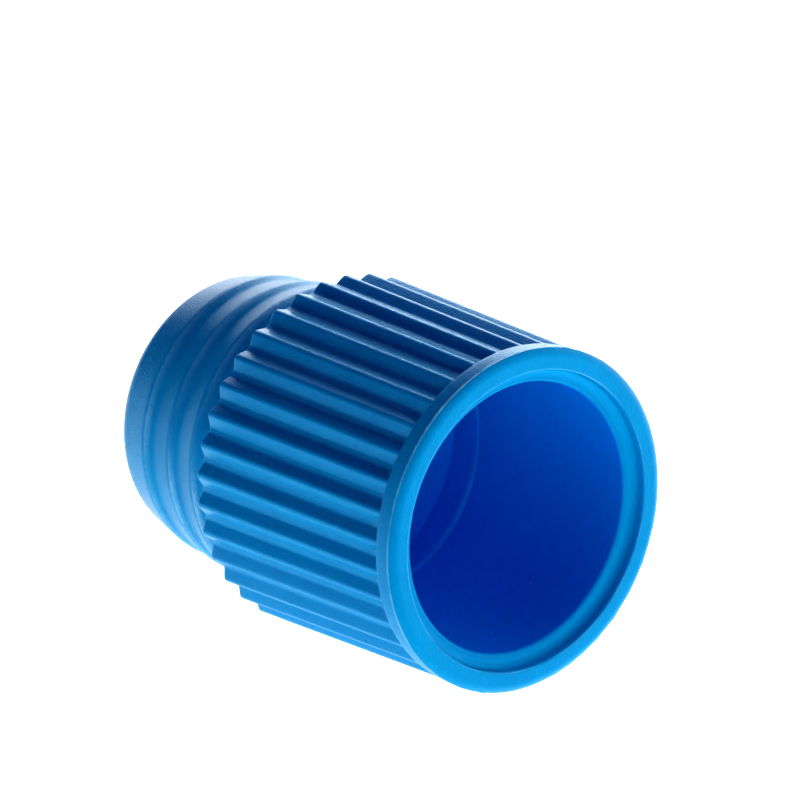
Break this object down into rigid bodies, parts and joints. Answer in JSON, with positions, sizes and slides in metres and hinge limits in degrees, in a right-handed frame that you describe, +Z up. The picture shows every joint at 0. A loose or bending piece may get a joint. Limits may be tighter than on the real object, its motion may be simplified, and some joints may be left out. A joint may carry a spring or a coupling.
{
  "type": "tube stopper",
  "caption": "Push-in tube stopper: a hollow ribbed grip sleeve on a hollow plug with stepped sealing lips, used to close a laboratory test tube.",
  "frame": {"origin": "on the stopper's axis, in the middle of the land of the largest sealing lip; the shoulder that rests on the rim of the tube is at X = 1.775 mm", "axes": "+X along the axis towards the open mouth of the grip, -X towards the plug's nose, +Z up with the stopper lying on its side"},
  "size_m": [0.024, 0.018, 0.018],
  "materials": {
    "sleeve_plastic": "satin blue polyethylene, moulded grain",
    "plug_plastic": "satin blue polyethylene, softer and slightly waxy"
  },
  "bodies": {
    "grip": {"grip_sleeve": "sleeve_plastic"},
    "plug": {"sealing_plug": "plug_plastic"}
  },
  "joints": [
    {"name": "plug_release", "type": "slide", "parent": "grip", "child": "plug", "axis": [-1, 0, 0], "range_m": [0, 0.015]}
  ]
}
